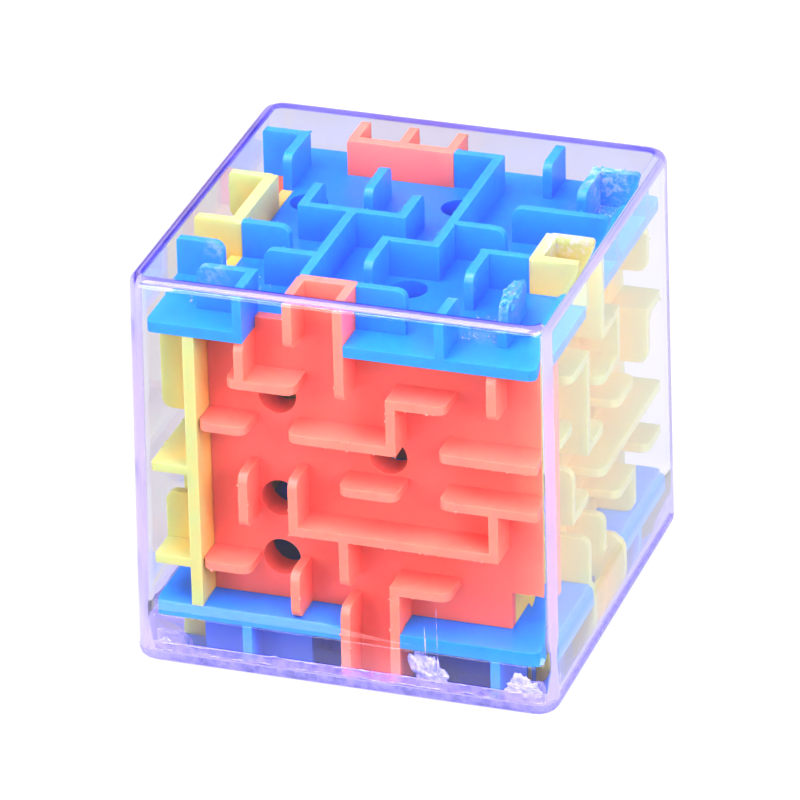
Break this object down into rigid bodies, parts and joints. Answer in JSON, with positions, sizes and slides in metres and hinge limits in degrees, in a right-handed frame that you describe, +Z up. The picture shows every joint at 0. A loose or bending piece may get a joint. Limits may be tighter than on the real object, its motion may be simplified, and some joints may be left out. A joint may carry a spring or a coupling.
{
  "type": "3d maze ball puzzle",
  "caption": "Clear cube case with interlocking coloured maze panels inside; a small steel ball rolls along corridors, through holes and round edges as the cube is turned.",
  "frame": {"origin": "middle of the underside of the base plate, on the surface the cube stands on", "axes": "+Z up through the base and the top, +X to the right of the red front face, +Y to the back"},
  "size_m": [0.0562, 0.0562, 0.0543],
  "materials": {
    "clear_case": "clear injection-moulded polystyrene with a faint violet tint, polished",
    "blue_plastic": "moulded, satin sheen",
    "red_plastic": "moulded, satin sheen",
    "yellow_plastic": "moulded, satin sheen",
    "cured_adhesive": "cloudy, lumpy",
    "ball_steel": "polished"
  },
  "bodies": {
    "cube": {"case_cover": "clear_case", "base_plate": "clear_case", "top_panel": "blue_plastic", "bottom_panel": "blue_plastic", "front_panel": "red_plastic", "back_panel": "red_plastic", "left_panel": "yellow_plastic", "right_panel": "yellow_plastic", "glue_dabs": "cured_adhesive"},
    "ball": {"steel_ball": "ball_steel"}
  },
  "joints": [
    {"name": "ball_roll", "type": "slide", "parent": "cube", "child": "ball", "axis": [-1, 0, 0], "range_m": [0, 0.027]}
  ]
}
